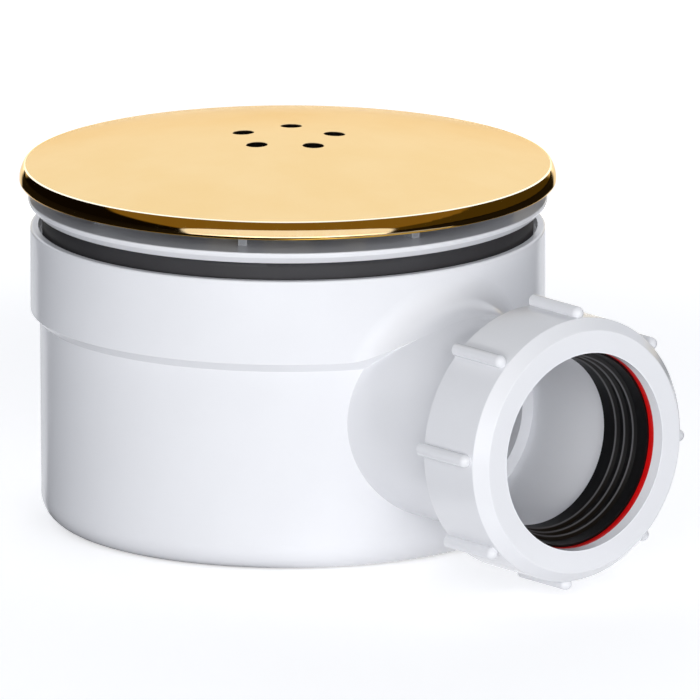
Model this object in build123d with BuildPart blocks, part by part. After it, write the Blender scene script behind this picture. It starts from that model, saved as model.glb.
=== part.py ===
from build123d import *
import math
import os

os.makedirs("parts", exist_ok=True)

# Shower trap with a domed cover and a compression outlet, in millimetres.
# The origin is on the trap's axis at its base, +Z is up, and the outlet points along +X.

# Driving dimensions: dip tube and water seal cup, which set the radii from the axis outwards
tube_bore_radius = 24.0
tube_wall = 1.8
rise_gap = 9.0
cup_wall = 1.7
fall_gap = 3.3
cup_floor = 1.8
cup_round = 3.0
inlet_gap = 3.0
weir_gap = 3.7
fin_count = 3
fin_width = 2.0
fin_height = 6.0
fin_clearance = 0.3
dish_floor = 1.5
dish_rim_wall = 1.4
dish_rim_height = 4.2
dish_clearance = 0.4
o_ring_section = 2.4
o_ring_clearance = 0.1

# Driving dimensions: clamping flange and tray seal
seat_ledge = 1.2
seat_depth = 7.75
flange_wall = 2.5
flange_thickness = 2.45
flange_tube_length = 17.0
thread_lead = 0.8
lip_overhang = 0.6
lip_draft = 0.4
lip_undercut = 1.4
lip_round = 0.25
lip_edge_round = 0.3
throat_round = 0.5
seal_thickness = 5.65
seal_side_clearance = 0.9
seal_bore_clearance = 1.0
seal_round = 1.2

# Driving dimensions: trap body
thread_clearance = 0.3
sleeve_wall = 2.5
sleeve_length = 11.0
chamber_gap = 2.95
wall = 2.5
base_thickness = 2.5
base_round = 6.0
draft = 0.2
collar_step = 1.95
collar_height = 17.65
rim_width = 1.6
rim_round = 0.5
seal_recess = 2.0
ledge_thickness = 2.5
headroom = 8.95
blend_radius = 7.5

# Driving dimensions: cover plate and hair strainer
cover_gap = 3.1
cover_overhang = 1.7
cover_sheet = 1.2
cover_rise = 6.0
cover_rim_height = 3.75
cover_edge_inset = 0.95
cover_edge_round = 0.3
cover_rim_round = 0.65
hole_diameter = 4.4
hole_circle_radius = 10.0
hole_count = 5
hole_turn = 137.0
hole_round = 0.25
rib_count = 8
rib_width = 1.8
rib_turn = -5.25
rib_setback = 6.5
rib_inner_radius = 30.0
rib_seat_gap = 0.05
hook_clearance = 1.2
skirt_clearance = 0.4
skirt_wall = 2.0
strainer_lift = 0.3
strainer_bar = 1.6
strainer_ring_radii = (9.0, 17.0, 25.0, 33.0)

# Driving dimensions: outlet for a 40 mm waste pipe
pipe_radius = 20.0
socket_clearance = 0.4
socket_wall = 1.6
socket_depth = 35.1
shoulder_width = 2.9
shoulder_standoff = 4.15
seat_flare = 2.8
thread_step = 3.0
thread_inset = 0.85
floor_clearance = 1.8
nut_length = 18.35
nut_clearance = 0.3
nut_wall = 2.45
nut_lip = 2.75
nut_opening_clearance = 0.8
nut_chamfer_depth = 2.65
nut_chamfer_width = 2.25
nut_edge_round = 0.3
grip_count = 8
grip_radius = 1.35
grip_proud = 2.15
grip_setback = 3.0
grip_turn = -3.0
slip_ring_thickness = 1.55
seal_flange = 2.1
seal_cone_length = 9.4
seal_fit = 0.15
seal_mouth_clearance = 0.3
seal_squeeze = 1.8
ridge_count = 3
ridge_pitch = 2.3
ridge_start = 3.2
ridge_height = 0.8
ridge_half_width = 0.6

# Radii about the trap's axis, from the inside outwards
tube_radius = tube_bore_radius + tube_wall
cup_bore_radius = tube_radius + rise_gap
cup_radius = cup_bore_radius + cup_wall
flange_bore_radius = cup_radius + fall_gap
throat_radius = flange_bore_radius + seat_ledge
flange_thread_radius = throat_radius + flange_wall
sleeve_bore_radius = flange_thread_radius + thread_clearance
sleeve_radius = sleeve_bore_radius + sleeve_wall
chamber_radius = sleeve_radius + chamber_gap
body_radius = chamber_radius + wall
collar_radius = body_radius + collar_step
rim_bore_radius = collar_radius - rim_width
lip_radius = collar_radius + lip_overhang
cover_radius = lip_radius + cover_overhang

# Radii about the outlet's axis
socket_radius = pipe_radius + socket_clearance
outlet_hole_radius = socket_radius - shoulder_width
spigot_radius = socket_radius + socket_wall
spigot_thread_radius = spigot_radius + thread_step
nut_bore_radius = spigot_thread_radius + nut_clearance
nut_radius = nut_bore_radius + nut_wall
nut_face_radius = nut_radius - nut_chamfer_width
nut_opening_radius = pipe_radius + nut_opening_clearance
grip_tip_radius = nut_radius + grip_proud
grip_circle_radius = grip_tip_radius - grip_radius

# Heights, from the base upwards
outlet_z = floor_clearance + grip_tip_radius
body_height = outlet_z + spigot_radius + headroom
collar_z = body_height - collar_height
step_z = collar_z - collar_step
ledge_z = body_height - seal_recess
flange_under_z = ledge_z + seal_thickness
flange_top_z = flange_under_z + flange_thickness
seat_z = flange_top_z - seat_depth
cup_floor_z = base_thickness + cup_floor
tube_mouth_z = cup_floor_z + inlet_gap
weir_z = seat_z - weir_gap
dish_top_z = seat_z + dish_rim_height
strainer_z = dish_top_z + strainer_lift
cover_low_z = flange_top_z + cover_gap
cover_edge_z = cover_low_z + cover_rim_height
crown_z = cover_edge_z + cover_rise

# Stations along the outlet's axis, from the body outwards
shoulder_x = body_radius + shoulder_standoff
mouth_x = shoulder_x + socket_depth
seal_front_x = mouth_x + seal_flange
seal_end_x = mouth_x - seal_cone_length
slip_ring_front_x = seal_front_x + slip_ring_thickness
nut_face_x = slip_ring_front_x + nut_lip
nut_back_x = nut_face_x - nut_length
thread_x = nut_back_x + thread_inset

outlet_axis = Axis((0, 0, outlet_z), (1, 0, 0))
outlet_section = Plane(origin=(0, 0, outlet_z), x_dir=(1, 0, 0), z_dir=(0, -1, 0))


def outlet_plane(x):
    """Plane across the outlet's axis at the given distance from the trap's axis, measured from below."""
    return Plane(origin=(x, 0, outlet_z), x_dir=(0, 0, -1), z_dir=(1, 0, 0))


def ring_edges(builder, radius, z):
    """Circular edges about the trap's axis with the given radius and height."""
    return builder.edges().filter_by(
        lambda edge: edge.geom_type == GeomType.CIRCLE
        and math.isclose(edge.radius, radius, abs_tol=0.01)
        and math.isclose(edge.arc_center.Z, z, abs_tol=0.01)
    )


def outlet_edges(builder, radius, x):
    """Circular edges about the outlet's axis with the given radius and station."""
    return builder.edges().filter_by(
        lambda edge: edge.geom_type == GeomType.CIRCLE
        and math.isclose(edge.radius, radius, abs_tol=0.01)
        and math.isclose(edge.arc_center.X, x, abs_tol=0.01)
    )


# The dome is part of a sphere through the crown and the cover's upper edge.
cover_edge_radius = cover_radius - cover_edge_inset
dome_radius = (cover_edge_radius**2 + cover_rise**2) / (2 * cover_rise)
dome_centre_z = crown_z - dome_radius


def dome_height(radius, depth):
    """Height of a sphere that lies depth below the dome's outer face, at a radius from the axis."""
    return dome_centre_z + math.sqrt((dome_radius - depth) ** 2 - radius**2)


# Cover plate: a thin dome with a bulging rim, rounded below, and drain holes round the crown
cover_bulge_z = cover_low_z + cover_rim_round
cover_bore_radius = cover_radius - cover_sheet
cover_inner_radius = cover_edge_radius - cover_sheet
cover_inner_z = dome_height(cover_inner_radius, cover_sheet)
half_inner = cover_inner_radius / 2
# The dome's seam lies midway between two holes.
cover_section = Plane.XZ.rotated((0, 0, hole_turn + 180 / hole_count))

with BuildPart() as cover_plate:
    with BuildSketch(cover_section):
        with BuildLine():
            ThreePointArc(
                (0, crown_z),
                (half_inner, dome_height(half_inner, 0)),
                (cover_edge_radius, cover_edge_z),
            )
            TangentArc((cover_radius, cover_bulge_z), (cover_edge_radius, cover_edge_z), tangent=(0, 1))
            RadiusArc(
                (cover_radius - cover_rim_round, cover_low_z),
                (cover_radius, cover_bulge_z),
                -cover_rim_round,
            )
            Polyline(
                (cover_radius - cover_rim_round, cover_low_z),
                (cover_bore_radius, cover_low_z),
                (cover_bore_radius, cover_bulge_z),
            )
            TangentArc(
                (cover_bore_radius, cover_bulge_z),
                (cover_inner_radius, cover_inner_z),
                tangent=(0, 1),
            )
            ThreePointArc(
                (cover_inner_radius, cover_inner_z),
                (half_inner, dome_height(half_inner, cover_sheet)),
                (0, crown_z - cover_sheet),
            )
            Line((0, crown_z - cover_sheet), (0, crown_z))
        make_face()
    revolve(axis=Axis.Z)
    fillet(ring_edges(cover_plate, cover_edge_radius, cover_edge_z), cover_edge_round)
    with BuildSketch(Plane.XY.offset(crown_z)):
        with PolarLocations(hole_circle_radius, hole_count, start_angle=hole_turn):
            Circle(hole_diameter / 2)
    extrude(amount=-(cover_rise + cover_sheet), mode=Mode.SUBTRACT)
    fillet(cover_plate.edges(Select.LAST).group_by(Axis.Z)[-1], hole_round)

cover_plate.part.label = "cover_plate"
export_step(cover_plate.part, "parts/cover_plate.step")

# Hair strainer: rings and bars in the throat, with tall ribs that stand on the flange and carry the cover
skirt_radius = throat_radius - skirt_clearance
rib_end_radius = lip_radius - rib_setback
hook_radius = cover_bore_radius - hook_clearance
hook_z = cover_low_z + hook_clearance
rib_depth = cover_sheet + rib_seat_gap
rib_mid_radius = (rib_inner_radius + hook_radius) / 2
hub_radius = strainer_ring_radii[0]

with BuildPart() as hair_strainer:
    with BuildSketch(Plane.XZ):
        with Locations((skirt_radius - skirt_wall, strainer_z)):
            Rectangle(skirt_wall, flange_top_z - strainer_z, align=(Align.MIN, Align.MIN))
        for bar_radius in strainer_ring_radii:
            with Locations((bar_radius, strainer_z)):
                Rectangle(strainer_bar, strainer_bar, align=(Align.MIN, Align.MIN))
    revolve(axis=Axis.Z)
    for rib_number in range(rib_count):
        rib_angle = rib_turn + rib_number * 360 / rib_count
        rib_plane = Plane.XZ.rotated((0, 0, rib_angle))
        with BuildSketch(rib_plane):
            with BuildLine():
                Polyline(
                    (rib_inner_radius, dome_height(rib_inner_radius, rib_depth)),
                    (rib_inner_radius, strainer_z + strainer_bar),
                    (hub_radius + strainer_bar / 2, strainer_z + strainer_bar),
                    (hub_radius + strainer_bar / 2, strainer_z),
                    (skirt_radius - skirt_wall / 2, strainer_z),
                    (skirt_radius - skirt_wall / 2, flange_top_z),
                    (rib_end_radius, flange_top_z),
                    (rib_end_radius, hook_z),
                    (hook_radius, hook_z),
                    (hook_radius, dome_height(hook_radius, rib_depth)),
                )
                ThreePointArc(
                    (hook_radius, dome_height(hook_radius, rib_depth)),
                    (rib_mid_radius, dome_height(rib_mid_radius, rib_depth)),
                    (rib_inner_radius, dome_height(rib_inner_radius, rib_depth)),
                )
            make_face()
        extrude(amount=rib_width / 2, both=True)

hair_strainer.part.label = "hair_strainer"
export_step(hair_strainer.part, "parts/hair_strainer.step")

# Dip tube: a shallow dish that rests on the flange's ledge, with the tube that dips into the cup
dish_radius = throat_radius - dish_clearance
groove_radius = throat_radius - o_ring_section - 2 * o_ring_clearance
groove_half = o_ring_section / 2 + o_ring_clearance
o_ring_z = seat_z + dish_rim_height / 2
dish_bore_radius = groove_radius - dish_rim_wall

with BuildPart() as dip_tube:
    with BuildSketch(Plane.XZ):
        with BuildLine():
            Polyline(
                (tube_bore_radius, tube_mouth_z),
                (tube_radius, tube_mouth_z),
                (tube_radius, seat_z),
                (dish_radius, seat_z),
                (dish_radius, o_ring_z - groove_half),
                (groove_radius, o_ring_z - groove_half),
                (groove_radius, o_ring_z + groove_half),
                (dish_radius, o_ring_z + groove_half),
                (dish_radius, dish_top_z),
                (dish_bore_radius, dish_top_z),
                (dish_bore_radius, seat_z + dish_floor),
                (tube_bore_radius, seat_z + dish_floor),
                close=True,
            )
        make_face()
    revolve(axis=Axis.Z)
    fillet(ring_edges(dip_tube, tube_bore_radius, seat_z + dish_floor), dish_floor)

dip_tube.part.label = "dip_tube"
export_step(dip_tube.part, "parts/dip_tube.step")

# O-ring: seals the dish in the flange's throat
o_ring_radius = throat_radius - o_ring_clearance - o_ring_section / 2

with BuildPart() as dip_tube_o_ring:
    with BuildSketch(Plane.XZ):
        with Locations((o_ring_radius, o_ring_z)):
            Circle(o_ring_section / 2)
    revolve(axis=Axis.Z)

dip_tube_o_ring.part.label = "dip_tube_o_ring"
export_step(dip_tube_o_ring.part, "parts/dip_tube_o_ring.step")

# Water seal cup: stands on the body's floor, and fins near its rim centre it in the flange's tube
fin_radius = flange_bore_radius - fin_clearance

with BuildPart() as water_seal_cup:
    with BuildSketch(Plane.XZ):
        with BuildLine():
            Polyline(
                (0, base_thickness),
                (cup_radius, base_thickness),
                (cup_radius, weir_z),
                (cup_bore_radius, weir_z),
                (cup_bore_radius, cup_floor_z),
                (0, cup_floor_z),
                close=True,
            )
        make_face()
    revolve(axis=Axis.Z)
    fillet(ring_edges(water_seal_cup, cup_radius, base_thickness), cup_round)
    fillet(ring_edges(water_seal_cup, cup_bore_radius, cup_floor_z), cup_round - cup_wall)
    with BuildSketch(Plane.XY.offset(weir_z)):
        with PolarLocations(cup_radius - cup_wall / 2, fin_count):
            Rectangle(fin_radius - cup_radius + cup_wall / 2, fin_width, align=(Align.MIN, Align.CENTER))
    extrude(amount=-fin_height)

water_seal_cup.part.label = "water_seal_cup"
export_step(water_seal_cup.part, "parts/water_seal_cup.step")

# Clamping flange: a lip over the tray, undercut below, and a tube that screws into the body's sleeve
flange_end_z = flange_under_z - flange_tube_length
lip_face_radius = lip_radius - lip_draft
lip_face_z = flange_under_z + lip_undercut

with BuildPart() as clamping_flange:
    with BuildSketch(Plane.XZ):
        with BuildLine():
            Polyline(
                (flange_bore_radius, flange_end_z),
                (flange_thread_radius, flange_end_z),
                (flange_thread_radius, flange_under_z),
                (lip_face_radius - lip_undercut, flange_under_z),
                (lip_face_radius, lip_face_z),
                (lip_radius, flange_top_z),
                (throat_radius, flange_top_z),
                (throat_radius, seat_z),
                (flange_bore_radius, seat_z),
                close=True,
            )
        make_face()
    revolve(axis=Axis.Z)
    fillet(ring_edges(clamping_flange, lip_face_radius, lip_face_z), lip_round)
    fillet(ring_edges(clamping_flange, lip_radius, flange_top_z), lip_edge_round)
    fillet(ring_edges(clamping_flange, throat_radius, flange_top_z), throat_round)
    chamfer(ring_edges(clamping_flange, flange_thread_radius, flange_end_z), thread_lead)

clamping_flange.part.label = "clamping_flange"
export_step(clamping_flange.part, "parts/clamping_flange.step")

# Tray seal: a thick ring that sits on the body's ledge, inside its rim
seal_radius = rim_bore_radius - seal_side_clearance
seal_bore_radius = flange_thread_radius + seal_bore_clearance

with BuildPart() as tray_seal:
    with BuildSketch(Plane.XZ):
        with Locations((seal_bore_radius, ledge_z)):
            Rectangle(seal_radius - seal_bore_radius, seal_thickness, align=(Align.MIN, Align.MIN))
    revolve(axis=Axis.Z)
    fillet(ring_edges(tray_seal, seal_radius, flange_under_z), seal_round)

tray_seal.part.label = "tray_seal"
export_step(tray_seal.part, "parts/tray_seal.step")

# Trap body: collar, step, rounded base, inner sleeve for the flange and the outlet spigot
base_radius = body_radius - draft
relief_reach = mouth_x + nut_length
sleeve_end_z = ledge_z - sleeve_length
ledge_under_z = ledge_z - ledge_thickness
collar_bore_radius = collar_radius - wall
inner_step_z = step_z + wall / 2
inner_collar_z = inner_step_z + collar_step

with BuildPart() as trap_body:
    # The collar runs the full height at first, and the spigot blends into it all round.
    # It is turned so that its seam lies behind, away from the spigot.
    Cylinder(
        collar_radius,
        body_height,
        rotation=(0, 0, 180),
        align=(Align.CENTER, Align.CENTER, Align.MIN),
    )
    fillet(ring_edges(trap_body, collar_radius, body_height), rim_round)
    with BuildSketch(outlet_plane(0)):
        Circle(spigot_radius)
    extrude(amount=mouth_x)
    fillet(trap_body.edges().filter_by(GeomType.BSPLINE), blend_radius)
    # The lower wall is turned down below the chamfered step, which also ends the blend.
    with BuildSketch(Plane.XZ):
        with BuildLine():
            RadiusArc((base_radius - base_round, 0), (base_radius, base_round), -base_round)
            Polyline(
                (base_radius, base_round),
                (body_radius, step_z),
                (relief_reach, step_z + relief_reach - body_radius),
                (relief_reach, 0),
                (base_radius - base_round, 0),
            )
        make_face()
    revolve(axis=Axis.Z, mode=Mode.SUBTRACT)
    # The spigot meets the lower wall in a crisp line and ends in the thread for the nut.
    with BuildSketch(outlet_plane(0)):
        Circle(spigot_radius)
    extrude(amount=mouth_x)
    with BuildSketch(outlet_plane(thread_x)):
        Circle(spigot_thread_radius)
    extrude(amount=mouth_x - thread_x)
    # Chamber, sleeve and the recess for the tray seal
    with BuildSketch(Plane.XZ):
        with BuildLine():
            Polyline(
                (0, base_thickness),
                (chamber_radius - draft, base_thickness),
                (chamber_radius, inner_step_z),
                (collar_bore_radius, inner_collar_z),
                (collar_bore_radius, ledge_under_z),
                (sleeve_radius, ledge_under_z),
                (sleeve_radius, sleeve_end_z),
                (sleeve_bore_radius, sleeve_end_z),
                (sleeve_bore_radius, ledge_z),
                (rim_bore_radius, ledge_z),
                (rim_bore_radius, body_height),
                (0, body_height),
                close=True,
            )
        make_face()
    revolve(axis=Axis.Z, mode=Mode.SUBTRACT)
    # Outlet hole, shoulder, pipe socket and the flared seat for the outlet seal
    with BuildSketch(outlet_section):
        with BuildLine():
            Polyline(
                (cup_radius, 0),
                (cup_radius, outlet_hole_radius),
                (shoulder_x, outlet_hole_radius),
                (shoulder_x, socket_radius),
                (seal_end_x, socket_radius),
                (mouth_x, socket_radius + seat_flare),
                (mouth_x, 0),
                close=True,
            )
        make_face()
    revolve(axis=outlet_axis, mode=Mode.SUBTRACT)

trap_body.part.label = "trap_body"
export_step(trap_body.part, "parts/trap_body.step")

# Outlet nut: a ring nut with a chamfered face and round-ended grip ribs
nut_shoulder_x = nut_face_x - nut_chamfer_depth
grip_end_x = nut_face_x - grip_setback - grip_radius

with BuildPart() as outlet_nut:
    with BuildSketch(outlet_section):
        with BuildLine():
            Polyline(
                (nut_back_x, nut_bore_radius),
                (nut_back_x, nut_radius),
                (nut_shoulder_x, nut_radius),
                (nut_face_x, nut_face_radius),
                (nut_face_x, nut_opening_radius),
                (slip_ring_front_x, nut_opening_radius),
                (slip_ring_front_x, nut_bore_radius),
                close=True,
            )
        make_face()
    revolve(axis=outlet_axis)
    fillet(outlet_edges(outlet_nut, nut_face_radius, nut_face_x), nut_edge_round)
    fillet(outlet_edges(outlet_nut, nut_radius, nut_shoulder_x), nut_edge_round)
    with BuildSketch(outlet_plane(nut_back_x)):
        with PolarLocations(grip_circle_radius, grip_count, start_angle=grip_turn):
            Circle(grip_radius)
    extrude(amount=grip_end_x - nut_back_x)
    with Locations(outlet_plane(grip_end_x)):
        with PolarLocations(grip_circle_radius, grip_count, start_angle=grip_turn):
            Sphere(grip_radius)

outlet_nut.part.label = "outlet_nut"
export_step(outlet_nut.part, "parts/outlet_nut.step")

# Slip ring: lets the nut turn without dragging the seal round
with BuildPart() as slip_ring:
    with BuildSketch(outlet_plane(seal_front_x)):
        Circle(nut_bore_radius - nut_clearance)
        Circle(nut_opening_radius, mode=Mode.SUBTRACT)
    extrude(amount=slip_ring_thickness)

slip_ring.part.label = "slip_ring"
export_step(slip_ring.part, "parts/slip_ring.step")

# Outlet seal: a tapered sleeve with a flange against the spigot's end and ridges that grip the pipe
seal_mouth_radius = pipe_radius + seal_mouth_clearance
seal_end_radius = pipe_radius - seal_squeeze
seal_length = seal_front_x - seal_end_x


def seal_bore(x):
    """Radius of the seal's tapered bore at a station along the outlet's axis."""
    return seal_end_radius + (seal_mouth_radius - seal_end_radius) * (x - seal_end_x) / seal_length


seal_bore_points = [(seal_front_x, seal_mouth_radius)]
for ridge_number in range(ridge_count):
    ridge_x = seal_front_x - ridge_start - ridge_number * ridge_pitch
    seal_bore_points += [
        (ridge_x + ridge_half_width, seal_bore(ridge_x + ridge_half_width)),
        (ridge_x, seal_bore(ridge_x) - ridge_height),
        (ridge_x - ridge_half_width, seal_bore(ridge_x - ridge_half_width)),
    ]
seal_bore_points += [(seal_end_x, seal_end_radius)]

with BuildPart() as outlet_seal:
    with BuildSketch(outlet_section):
        with BuildLine():
            Polyline(
                *seal_bore_points,
                (seal_end_x, socket_radius - seal_fit),
                (mouth_x, socket_radius + seat_flare - seal_fit),
                (mouth_x, nut_bore_radius - nut_clearance),
                (seal_front_x, nut_bore_radius - nut_clearance),
                close=True,
            )
        make_face()
    revolve(axis=outlet_axis)

outlet_seal.part.label = "outlet_seal"
export_step(outlet_seal.part, "parts/outlet_seal.step")
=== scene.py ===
import math

import bpy
from mathutils import Matrix, Vector

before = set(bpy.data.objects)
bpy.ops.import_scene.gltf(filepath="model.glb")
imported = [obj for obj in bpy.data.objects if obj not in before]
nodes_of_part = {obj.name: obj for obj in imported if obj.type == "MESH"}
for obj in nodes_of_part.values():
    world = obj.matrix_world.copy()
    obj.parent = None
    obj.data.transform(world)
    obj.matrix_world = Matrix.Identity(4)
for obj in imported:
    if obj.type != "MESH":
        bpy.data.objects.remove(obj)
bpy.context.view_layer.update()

scene = bpy.context.scene

# The photograph's view of the part, in degrees, metres and pixels. The sensor's width is in mm.
CAMERA_AZIMUTH = 50.93
CAMERA_ELEVATION = 13.16
CAMERA_DISTANCE = 6.5
SENSOR_WIDTH = 36.0
PIXELS_PER_METRE = 4792.5
PHOTO_WIDTH = 700
LOOK_AT_HEIGHT = 0.040
LOOK_AT_RIGHT = 0.012967
LOOK_AT_UP = -0.004251
CLIP_START = 0.1
CLIP_END = 50.0

UP = Vector((0, 0, 1))
azimuth = math.radians(CAMERA_AZIMUTH)
elevation = math.radians(CAMERA_ELEVATION)
front = Vector((math.sin(azimuth), -math.cos(azimuth), 0.0))
right = Vector((math.cos(azimuth), math.sin(azimuth), 0.0))
towards_camera = front * math.cos(elevation) + UP * math.sin(elevation)
camera_up = UP * math.cos(elevation) - front * math.sin(elevation)


class Shader:
    """A small helper that adds nodes to one tree and joins them."""

    def __init__(self, tree):
        self.tree = tree
        self.tree.nodes.clear()

    def add(self, kind, inputs=None, **settings):
        made = self.tree.nodes.new(kind)
        for name, value in settings.items():
            setattr(made, name, value)
        for name, value in (inputs or {}).items():
            if isinstance(value, bpy.types.NodeSocket):
                self.tree.links.new(value, made.inputs[name])
            else:
                made.inputs[name].default_value = value
        return made

    def math(self, operation, first, second=0.0, clamp=False):
        made = self.add(
            "ShaderNodeMath", {0: first, 1: second}, operation=operation, use_clamp=clamp
        )
        return made.outputs[0]

    def plus(self, first, second):
        return self.math("ADD", first, second)

    def minus(self, first, second):
        return self.math("SUBTRACT", first, second)

    def times(self, first, second):
        return self.math("MULTIPLY", first, second)

    def larger(self, first, second):
        return self.math("MAXIMUM", first, second)

    def unsigned(self, value):
        return self.math("ABSOLUTE", value)

    def hypotenuse(self, first, second):
        squares = (self.math("POWER", side, 2.0) for side in (first, second))
        return self.math("SQRT", self.plus(*squares))

    def vector(self, operation, first, second):
        return self.add("ShaderNodeVectorMath", {0: first, 1: second}, operation=operation)

    def along(self, way, axis):
        return self.vector("DOT_PRODUCT", way, axis).outputs["Value"]

    def step(self, value, low, high, to_low=0.0, to_high=1.0):
        """Goes smoothly from one value to another as its input goes from low to high."""
        made = self.add(
            "ShaderNodeMapRange",
            {
                "Value": value,
                "From Min": low,
                "From Max": high,
                "To Min": to_low,
                "To Max": to_high,
            },
            interpolation_type="SMOOTHSTEP",
        )
        return made.outputs["Result"]

    def noise(self, place, scale, detail, roughness=0.5):
        made = self.add(
            "ShaderNodeTexNoise",
            {"Vector": place, "Scale": scale, "Detail": detail, "Roughness": roughness},
        )
        return made.outputs["Fac"]

    def mix(self, share, first, second):
        """Mixes two colours."""
        made = self.add("ShaderNodeMix", {0: share, 6: first, 7: second}, data_type="RGBA")
        return made.outputs[2]

    def blend(self, share, first, second):
        """Mixes two numbers."""
        made = self.add("ShaderNodeMix", {0: share, 2: first, 3: second}, data_type="FLOAT")
        return made.outputs[0]

    def bump(self, height, strength, distance, normal=None):
        inputs = {"Height": height, "Strength": strength, "Distance": distance}
        if normal is not None:
            inputs["Normal"] = normal
        return self.add("ShaderNodeBump", inputs).outputs["Normal"]

    def edges(self, radius):
        """Is 0 on open faces and rises towards 1 along edges."""
        rounded = self.add("ShaderNodeBevel", {"Radius": radius}, samples=4)
        flat = self.add("ShaderNodeNewGeometry")
        turn = self.along(rounded.outputs["Normal"], flat.outputs["Normal"])
        return self.step(turn, 0.995, 0.86)

    def object_place(self):
        return self.add("ShaderNodeTexCoord").outputs["Object"]

    def split(self, vector):
        return self.add("ShaderNodeSeparateXYZ", {0: vector}).outputs

    def close(self, inputs):
        """Ends a material with one Principled shader."""
        principled = self.add("ShaderNodeBsdfPrincipled", inputs)
        self.add("ShaderNodeOutputMaterial", {"Surface": principled.outputs["BSDF"]})


def rgb(red, green, blue):
    return (red, green, blue, 1.0)


def scaled(tone, factor):
    return rgb(*(channel * factor for channel in tone))


def new_material(name):
    material = bpy.data.materials.new(name)
    material.use_nodes = True
    return material, Shader(material.node_tree)


# The outlet's axis and bore, in metres.
OUTLET_HEIGHT = 0.0317
SOCKET_START = 0.035
SOCKET_FADE = 0.002
SOCKET_RADIUS = 0.0204
SOCKET_SKIN = 0.0004
SEAL_END = 0.0816
SEAL_FADE = 0.001
SEAL_END_RADIUS = 0.0182
SEAL_TAPER = 2.1 / 11.5
RIDGE_FOOT = 0.00048
RIDGE_TOP = 0.00062


def off_outlet_axis(sh, place):
    """Gives the place along the outlet's axis and the distance from that axis."""
    parts = sh.split(place)
    rise = sh.minus(parts["Z"], OUTLET_HEIGHT)
    return parts["X"], sh.hypotenuse(parts["Y"], rise)


PLASTIC_IOR = 1.47
SPECK_GREY = rgb(0.66, 0.67, 0.69)
RUBBED_WHITE = rgb(0.93, 0.935, 0.945)
# A lighter white painted on the outlet socket's bore: painted light where little light reaches.
SOCKET_PAINTED_LIGHT_WHITE = rgb(0.94, 0.955, 0.99)


def white_plastic(name, tone, gloss, grain, seed):
    """Moulded white plastic: faint clouds, a fine moulded skin and lightly rubbed edges, with a
    lighter white painted in the outlet socket's bore as painted light.
    """
    material, sh = new_material(name)
    place = sh.object_place()
    moved = sh.vector("ADD", place, seed).outputs["Vector"]
    clouds = sh.noise(moved, scale=38.0, detail=4.0, roughness=0.55)
    specks = sh.noise(moved, scale=1700.0, detail=2.0, roughness=0.6)
    skin = sh.noise(moved, scale=grain, detail=3.0, roughness=0.55)
    sink = sh.noise(moved, scale=70.0, detail=1.0)
    edge = sh.edges(radius=0.0007)
    colour = sh.mix(sh.step(clouds, 0.30, 0.70), scaled(tone, 0.98), rgb(*tone))
    colour = sh.mix(sh.step(specks, 0.60, 0.85, to_high=0.008), colour, SPECK_GREY)
    colour = sh.mix(sh.times(edge, 0.35), colour, RUBBED_WHITE)
    # The socket's bore is painted lighter: painted light inside the outlet.
    along, off_axis = off_outlet_axis(sh, place)
    inside = sh.step(off_axis, SOCKET_RADIUS + 2 * SOCKET_SKIN, SOCKET_RADIUS + SOCKET_SKIN)
    bore = sh.times(sh.step(along, SOCKET_START, SOCKET_START + SOCKET_FADE), inside)
    colour = sh.mix(bore, colour, SOCKET_PAINTED_LIGHT_WHITE)
    rough = sh.step(clouds, 0.25, 0.75, to_low=gloss - 0.03, to_high=gloss + 0.05)
    rough = sh.plus(rough, sh.step(specks, 0.4, 0.8, to_high=0.01))
    rough = sh.minus(rough, sh.times(edge, 0.08))
    normal = sh.bump(sink, strength=0.05, distance=0.0005)
    normal = sh.bump(skin, strength=0.02, distance=0.00005, normal=normal)
    sh.close({"Base Color": colour, "Roughness": rough, "Normal": normal, "IOR": PLASTIC_IOR})
    return material


RUBBER_IOR = 1.5
# Pale grey painted on the outlet seal's ridge crests: a painted highlight.
CREST_HIGHLIGHT_GREY = rgb(0.075, 0.075, 0.08)


def black_rubber(name, tone, gloss, shine, seed):
    """Black rubber with a dusty bloom and a fine grain; its edges are paler, partly as rubbed wear
    and partly as a painted highlight, and the ridge crests in the outlet are painted pale as a
    painted highlight.
    """
    material, sh = new_material(name)
    place = sh.object_place()
    moved = sh.vector("ADD", place, seed).outputs["Vector"]
    bloom = sh.noise(moved, scale=90.0, detail=5.0, roughness=0.6)
    grain = sh.noise(moved, scale=2600.0, detail=2.0, roughness=0.6)
    edge = sh.edges(radius=0.0006)
    pale = scaled(tone, 1.9)
    colour = sh.mix(sh.step(bloom, 0.35, 0.75), rgb(*tone), scaled(tone, 1.25))
    colour = sh.mix(sh.step(grain, 0.62, 0.80, to_high=0.35), colour, pale)
    # Paler edges: partly rubbed wear, partly a painted highlight.
    colour = sh.mix(sh.times(edge, 0.25), colour, pale)
    # The outlet seal's ridge crests are painted pale grey: a painted highlight.
    along, off_axis = off_outlet_axis(sh, place)
    bore = sh.plus(sh.times(sh.minus(along, SEAL_END), SEAL_TAPER), SEAL_END_RADIUS)
    raised = sh.step(sh.minus(bore, off_axis), RIDGE_FOOT, RIDGE_TOP)
    crest_highlight = sh.times(sh.step(along, SEAL_END, SEAL_END + SEAL_FADE), raised)
    colour = sh.mix(crest_highlight, colour, CREST_HIGHLIGHT_GREY)
    rough = sh.step(bloom, 0.3, 0.8, to_low=gloss - 0.06, to_high=gloss + 0.08)
    normal = sh.bump(grain, strength=0.12, distance=0.00012)
    sh.close({
        "Base Color": colour,
        "Roughness": rough,
        "Normal": normal,
        "IOR": RUBBER_IOR,
        "Specular IOR Level": shine,
    })
    return material


DEEP_RED = rgb(0.70, 0.001, 0.002)
CLEAR_RED = rgb(0.80, 0.003, 0.003)
RUBBED_RED = rgb(0.80, 0.04, 0.03)


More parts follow.
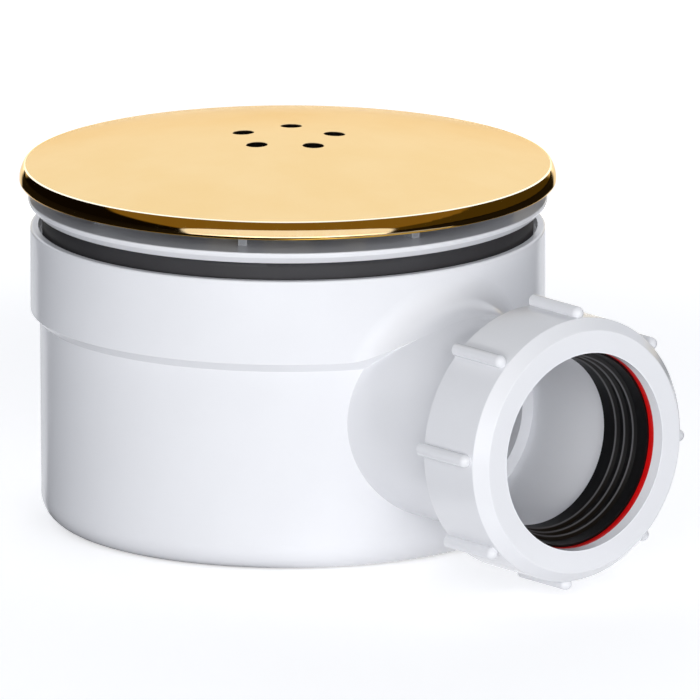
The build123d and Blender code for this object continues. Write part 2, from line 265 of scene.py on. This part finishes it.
def red_plastic(name):
    """The red slip ring: smooth moulded plastic, deeper in tone where it is cloudy."""
    material, sh = new_material(name)
    place = sh.object_place()
    clouds = sh.noise(place, scale=120.0, detail=4.0, roughness=0.55)
    skin = sh.noise(place, scale=1900.0, detail=2.0, roughness=0.5)
    edge = sh.edges(radius=0.0004)
    colour = sh.mix(sh.step(clouds, 0.3, 0.7), DEEP_RED, CLEAR_RED)
    colour = sh.mix(sh.times(edge, 0.25), colour, RUBBED_RED)
    rough = sh.step(clouds, 0.25, 0.75, to_low=0.29, to_high=0.38)
    normal = sh.bump(skin, strength=0.05, distance=0.0001)
    sh.close({"Base Color": colour, "Roughness": rough, "Normal": normal, "IOR": PLASTIC_IOR})
    return material


# The cover's zones, measured from its axis: the satin top, a painted highlight line where the
# polished rim starts, the rim, and the holes in the crown, whose walls are painted near-black as
# painted shade.
SATIN_END = 0.0545
POLISH_START = 0.0549
UNDER_END = 0.0550
HIGHLIGHT_LINE_INNER = (0.05468, 0.05478)
HIGHLIGHT_LINE_OUTER = (0.05520, 0.05508)
HOLES_REACH = (0.016, 0.015)

TOP_GOLD = (rgb(0.93, 0.69, 0.365), rgb(0.96, 0.735, 0.42))
GRAIN_GOLD = rgb(0.98, 0.80, 0.52)
RIM_GOLD = (rgb(0.94, 0.69, 0.37), rgb(0.965, 0.75, 0.45))
# A pale gold painted along the cover's edges: a painted highlight.
EDGE_HIGHLIGHT_GOLD = rgb(1.0, 0.88, 0.68)
# A near-white painted on a thin ring where the rim starts: a painted highlight line.
HIGHLIGHT_LINE_GOLD = rgb(1.0, 0.96, 0.88)
# A deeper, darker orange gold for the rim where it faces downward: painted shade.
TURNED_DOWN_SHADE_GOLD = rgb(0.80, 0.45, 0.05)
BARE_METAL = (rgb(0.82, 0.82, 0.85), rgb(0.88, 0.88, 0.91))
# A near-black painted on the hole walls: painted shade in the holes.
HOLE_SHADE_BLACK = rgb(0.010, 0.009, 0.008)
GRAZING_TINT = rgb(1.0, 0.87, 0.62)


def gold_cover(name):
    """Gold-coloured metal: a satin top with a fine grain, a polished rim and a bare underside; a
    painted highlight line and painted highlights on the edges, painted shade where the rim turns
    down, and near-black painted shade in the holes.
    """
    material, sh = new_material(name)
    place = sh.object_place()
    parts = sh.split(place)
    radius = sh.hypotenuse(parts["X"], parts["Y"])
    facing_up = sh.split(sh.add("ShaderNodeNewGeometry").outputs["Normal"])["Z"]
    clouds = sh.noise(place, scale=45.0, detail=4.0, roughness=0.55)
    grain = sh.noise(place, scale=4200.0, detail=2.0, roughness=0.65)
    wear = sh.noise(place, scale=240.0, detail=6.0, roughness=0.65)
    edge = sh.edges(radius=0.0006)

    rim = sh.step(radius, SATIN_END, POLISH_START)
    # A thin ring where the polished rim starts: the painted highlight line.
    highlight_line = sh.times(sh.step(radius, *HIGHLIGHT_LINE_INNER), sh.step(radius, *HIGHLIGHT_LINE_OUTER))
    # Where the rim faces downward it is painted a deeper, darker orange gold: painted shade.
    turned_down_shade = sh.times(sh.step(facing_up, -0.15, -0.5), rim)
    under = sh.times(sh.step(facing_up, 0.60, 0.25), sh.step(radius, UNDER_END, POLISH_START))
    under = sh.larger(under, sh.step(facing_up, -0.80, -0.95))

    top = sh.mix(sh.step(clouds, 0.3, 0.7), *TOP_GOLD)
    top = sh.mix(sh.step(grain, 0.35, 0.75, to_high=0.12), top, GRAIN_GOLD)
    bright = sh.mix(sh.step(wear, 0.45, 0.75), *RIM_GOLD)
    bare = sh.mix(sh.step(wear, 0.4, 0.7), *BARE_METAL)
    # Inside the ring of holes the walls and underside are painted near-black: painted shade in the
    # holes.
    bare = sh.mix(sh.step(radius, *HOLES_REACH), bare, HOLE_SHADE_BLACK)
    colour = sh.mix(rim, top, bright)
    # Edges painted paler gold: a painted highlight.
    colour = sh.mix(sh.times(edge, 0.5), colour, EDGE_HIGHLIGHT_GOLD)
    colour = sh.mix(sh.times(highlight_line, 0.9), colour, HIGHLIGHT_LINE_GOLD)
    colour = sh.mix(turned_down_shade, colour, TURNED_DOWN_SHADE_GOLD)
    colour = sh.mix(under, colour, bare)

    satin = sh.step(clouds, 0.25, 0.75, to_low=0.20, to_high=0.262)
    polish = sh.step(wear, 0.45, 0.85, to_low=0.045, to_high=0.13)
    grain_strength = sh.step(rim, 0.0, 1.0, to_low=0.07, to_high=0.01)
    sh.close({
        "Base Color": colour,
        "Roughness": sh.blend(rim, satin, polish),
        "Normal": sh.bump(grain, strength=grain_strength, distance=0.00008),
        "Metallic": sh.step(rim, 0.0, 1.0, to_low=0.62, to_high=1.0),
        "Specular IOR Level": 0.0,
        "Specular Tint": GRAZING_TINT,
    })
    return material


WHITE = (0.860, 0.867, 0.896)
# The strainer's white plastic is painted grey: painted shade under the cover.
STRAINER_SHADE_GREY = (0.30, 0.31, 0.33)
SEAL_BLACK = (0.033, 0.033, 0.037)
# The outlet seal's rubber is painted far darker than the tray seal's: painted shade inside the nut.
SHADED_SLEEVE_BLACK = (0.0030, 0.0030, 0.0033)

body_white = white_plastic(
    "white_plastic_body", WHITE, gloss=0.19, grain=1300.0, seed=(0.0, 0.0, 0.0)
)
flange_white = white_plastic(
    "white_plastic_flange", WHITE, gloss=0.14, grain=1500.0, seed=(0.31, 0.12, 0.05)
)
nut_white = white_plastic(
    "white_plastic_nut", WHITE, gloss=0.19, grain=1700.0, seed=(0.07, 0.44, 0.21)
)
inner_white = white_plastic(
    "white_plastic_inner", WHITE, gloss=0.34, grain=1500.0, seed=(0.52, 0.33, 0.17)
)
strainer_shaded = white_plastic(
    "white_plastic_strainer_painted_shade", STRAINER_SHADE_GREY, gloss=0.34, grain=1500.0, seed=(0.18, 0.27, 0.36)
)
seal_black = black_rubber(
    "black_rubber_tray_seal", SEAL_BLACK, gloss=0.58, shine=0.95, seed=(0.0, 0.0, 0.0)
)
shaded_sleeve_black = black_rubber(
    "black_rubber_outlet_seal_painted_shade", SHADED_SLEEVE_BLACK, gloss=0.42, shine=0.28, seed=(0.23, 0.11, 0.40)
)

finishes = {
    "cover_plate": gold_cover("gold_cover_satin_polish_painted_highlight_and_shade"),
    "hair_strainer": strainer_shaded,
    "clamping_flange": flange_white,
    "dip_tube": inner_white,
    "dip_tube_o_ring": shaded_sleeve_black,
    "water_seal_cup": inner_white,
    "tray_seal": seal_black,
    "trap_body": body_white,
    "outlet_nut": nut_white,
    "slip_ring": red_plastic("red_plastic_slip_ring"),
    "outlet_seal": shaded_sleeve_black,
}
for node_name, finish in finishes.items():
    mesh = nodes_of_part[node_name].data
    if not mesh.materials:
        mesh.materials.append(finish)
    for slot_number in range(len(mesh.materials)):
        mesh.materials[slot_number] = finish


# How the room looks in a mirror, by the angle round from the camera's side and the height, in
# radians: a long oval white card in front, a bright wall behind, a bright ceiling, a warm dim room
# and dark sides.
CARD_HALF_TURN = 0.80
CARD_MIDDLE = 0.04
CARD_HALF_HEIGHT = 0.29
CARD_BLUR = 0.06
WALL_TURN = 2.70
WALL_BLUR = 0.06
CEILING = (1.15, 1.28)
WARM_SLOPE = 0.476
WARM_START = (-0.31, -0.24)
SIDES_BLUR = (-0.3, 0.9)
HORIZON = (0.02, 0.20)
BACKDROP_RISE = (0.15, 0.85)
PURE_WHITE = rgb(1.0, 1.0, 1.0)
LEFT_SIDE = rgb(0.004, 0.0025, 0.0006)
RIGHT_SIDE = rgb(0.058, 0.036, 0.004)
WARM_ROOM = rgb(0.197, 0.114, 0.0155)
HORIZON_GLOW = rgb(1.29, 1.06, 0.64)
LOW_BACKDROP = rgb(1.32, 1.35, 1.44)
HIGH_BACKDROP = rgb(1.25, 1.24, 1.20)

# The light that the room scatters on the part: dim in front, brighter from behind.
BACK_TURN = (1.3, 2.1)
BACK_HEIGHT = (1.0, 0.5)
FRONT_LIGHT = rgb(0.215, 0.226, 0.248)
BACK_LIGHT = rgb(0.54, 0.56, 0.60)

# The floor: pale, white where it is seen, with the part's soft shadow on it. Near the part it glows
# less, so that the shadow shows; where the floor there is less lit, this is a faint painted shade
# round the part. A mirror sees it dark, apart from the card, a patch beside the nut, and the strip
# behind the part that the wall lights.
FLOOR_HALF = 6.0
FLOOR_LEVEL = -0.0002
FLOOR_GLOW = 0.64
NEAR_FLOOR_GLOW = 0.50
NEAR_FLOOR = (0.16, 0.34)
FLOOR_PALE = rgb(0.91, 0.91, 0.92)
FLOOR_DARK = rgb(0.02, 0.014, 0.006)
FLOOR_WARM = rgb(1.0, 0.86, 0.56)
WARM_FLOOR = (0.30, 0.42)
RIM_HEIGHT = 0.073
RIM_RADIUS = 0.056
LEAST_REACH = 0.001
BODY_EDGE = 0.0525
NEAR_WALL_TURN = 2.62
FAR_WALL_TURN = 2.80
WALL_DISTANCE = (0.24, 0.31)
WALL_GLOW = 0.45
NUT_PLACE = (0.085, 0.0, 0.0)
NUT_PATCH = (0.065, 0.045)


def turn_from_front(sh, way):
    return sh.math("ARCTAN2", sh.along(way, right), sh.along(way, front))


def on_card(sh, turn, height):
    round_part = sh.math("POWER", sh.math("DIVIDE", turn, CARD_HALF_TURN), 2.0)
    raised = sh.math("DIVIDE", sh.minus(height, CARD_MIDDLE), CARD_HALF_HEIGHT)
    oval = sh.plus(round_part, sh.math("POWER", raised, 2.0))
    return sh.step(oval, 1.0 + CARD_BLUR, 1.0 - CARD_BLUR)


def floor_behind(sh, place):
    """Is 1 on the strip behind the part, which starts at the body's edges."""
    outward = sh.minus(sh.unsigned(sh.along(place, right)), BODY_EDGE)
    forward = sh.along(place, front)
    past = sh.hypotenuse(outward, forward)
    start = sh.step(past, *WALL_DISTANCE, to_low=NEAR_WALL_TURN, to_high=FAR_WALL_TURN)
    edge_turn = sh.unsigned(sh.math("ARCTAN2", outward, forward))
    return sh.step(sh.minus(edge_turn, start), -WALL_BLUR, WALL_BLUR)


def floor_finish():
    material, sh = new_material("floor_pale")
    path = sh.add("ShaderNodeLightPath").outputs
    seen = sh.larger(path["Is Camera Ray"], path["Is Transmission Ray"])
    glossy = path["Is Glossy Ray"]

    place = sh.add("ShaderNodeNewGeometry").outputs["Position"]
    away = sh.add("ShaderNodeVectorMath", {0: place}, operation="LENGTH").outputs["Value"]
    reach = sh.larger(sh.minus(away, RIM_RADIUS), LEAST_REACH)
    height = sh.times(sh.math("ARCTAN2", RIM_HEIGHT, reach), -1.0)
    card = on_card(sh, sh.unsigned(turn_from_front(sh, place)), height)
    from_nut = sh.vector("DISTANCE", place, NUT_PLACE).outputs["Value"]
    in_front = sh.larger(card, sh.step(from_nut, *NUT_PATCH))
    behind = floor_behind(sh, place)

    dimmed = sh.math("SUBTRACT", glossy, sh.larger(in_front, behind), clamp=True)
    pale = sh.mix(dimmed, FLOOR_PALE, FLOOR_DARK)
    scatter = sh.add("ShaderNodeBsdfDiffuse", {"Color": pale})

    # Near the part the floor glows less: this lets the real shadow show and paints a faint grey
    # shade round the part.
    floor_glow = sh.step(away, *NEAR_FLOOR, to_low=NEAR_FLOOR_GLOW, to_high=FLOOR_GLOW)
    mirror_glow = sh.larger(sh.times(in_front, FLOOR_GLOW), sh.times(behind, WALL_GLOW))
    glow = sh.larger(sh.times(seen, floor_glow), sh.times(glossy, mirror_glow))
    warm = sh.times(glossy, sh.times(behind, sh.step(away, *WARM_FLOOR)))
    tint = sh.mix(warm, PURE_WHITE, FLOOR_WARM)
    shine = sh.add("ShaderNodeEmission", {"Color": tint, "Strength": glow})

    both = sh.add("ShaderNodeAddShader", {0: scatter.outputs[0], 1: shine.outputs[0]})
    sh.add("ShaderNodeOutputMaterial", {"Surface": both.outputs[0]})
    material.cycles.emission_sampling = "NONE"
    return material


floor_mesh = bpy.data.meshes.new("floor")
corners = [(-FLOOR_HALF, -FLOOR_HALF, 0), (FLOOR_HALF, -FLOOR_HALF, 0),
           (FLOOR_HALF, FLOOR_HALF, 0), (-FLOOR_HALF, FLOOR_HALF, 0)]
floor_mesh.from_pydata(corners, [], [(0, 1, 2, 3)])
floor = bpy.data.objects.new("floor", floor_mesh)
floor.location.z = FLOOR_LEVEL
scene.collection.objects.link(floor)
floor_mesh.materials.append(floor_finish())


def light_room(tree):
    """The camera sees white, a mirror sees the room, and scattered light is dim and even."""
    sh = Shader(tree)
    path = sh.add("ShaderNodeLightPath").outputs
    seen = sh.larger(path["Is Camera Ray"], path["Is Transmission Ray"])

    way = sh.add("ShaderNodeTexCoord").outputs["Generated"]
    side = turn_from_front(sh, way)
    turn = sh.unsigned(side)
    height = sh.math("ARCSINE", sh.along(way, UP))
    wall = sh.step(sh.plus(turn, height), WALL_TURN - WALL_BLUR, WALL_TURN + WALL_BLUR)
    warm = sh.step(sh.minus(height, sh.times(turn, WARM_SLOPE)), *WARM_START)

    backdrop = sh.mix(sh.step(height, *BACKDROP_RISE), LOW_BACKDROP, HIGH_BACKDROP)
    backdrop = sh.mix(sh.step(height, *HORIZON), HORIZON_GLOW, backdrop)
    room = sh.mix(sh.step(side, *SIDES_BLUR), LEFT_SIDE, RIGHT_SIDE)
    room = sh.mix(warm, room, WARM_ROOM)
    room = sh.mix(on_card(sh, turn, height), room, PURE_WHITE)
    room = sh.mix(wall, room, backdrop)
    room = sh.mix(sh.step(height, *CEILING), room, PURE_WHITE)

    back = sh.times(sh.step(turn, *BACK_TURN), sh.step(height, *BACK_HEIGHT))
    light = sh.mix(back, FRONT_LIGHT, BACK_LIGHT)
    light = sh.mix(path["Is Glossy Ray"], light, room)
    light = sh.mix(seen, light, PURE_WHITE)
    background = sh.add("ShaderNodeBackground", {"Color": light, "Strength": 1.0})
    sh.add("ShaderNodeOutputWorld", {"Surface": background.outputs[0]})


world = bpy.data.worlds.new("studio")
scene.world = world
world.use_nodes = True
world.cycles.sampling_method = "NONE"
light_room(world.node_tree)

LAMP_AIM = Vector((0, 0, 0.04))


def area_light(name, place, width, height, power):
    """A soft rectangular lamp that faces the part and that no camera or mirror sees."""
    data = bpy.data.lights.new(name, "AREA")
    data.shape = "RECTANGLE"
    data.size = width
    data.size_y = height
    data.energy = power
    lamp = bpy.data.objects.new(name, data)
    lamp.location = place
    aim = LAMP_AIM - place
    lamp.rotation_mode = "QUATERNION"
    lamp.rotation_quaternion = aim.to_track_quat("-Z", "Y")
    lamp.visible_camera = False
    lamp.visible_glossy = False
    scene.collection.objects.link(lamp)


# Each lamp's name, its place, its width and height in metres, and its power in watts.
LAMPS = (
    ("front_softbox", front * 1.3 + right * 0.09 + UP * 0.33, 1.5, 0.85, 11.9),
    ("low_strip", front * 1.1 + UP * 0.045, 1.0, 0.08, 2.6),
    ("top_softbox", front * -0.10 + UP * 1.1, 0.22, 0.16, 0.25),
    ("back_softbox", front * -1.4 + UP * 0.26, 1.3, 0.42, 9.5),
    ("right_fill", right * 1.2 + front * 0.10 + UP * 0.28, 0.6, 0.5, 0.85),
)
for lamp_values in LAMPS:
    area_light(*lamp_values)

# The camera, far away with a long lens, as the photograph has almost no perspective.
camera_data = bpy.data.cameras.new("camera")
camera_data.sensor_width = SENSOR_WIDTH
camera_data.lens = SENSOR_WIDTH * PIXELS_PER_METRE * CAMERA_DISTANCE / PHOTO_WIDTH
camera_data.clip_start = CLIP_START
camera_data.clip_end = CLIP_END
camera = bpy.data.objects.new("camera", camera_data)
target = UP * LOOK_AT_HEIGHT + right * LOOK_AT_RIGHT + camera_up * LOOK_AT_UP
axes = Matrix((right, camera_up, towards_camera)).transposed().to_4x4()
camera.matrix_world = Matrix.Translation(target + towards_camera * CAMERA_DISTANCE) @ axes
scene.collection.objects.link(camera)
scene.camera = camera

scene.view_settings.view_transform = "Standard"
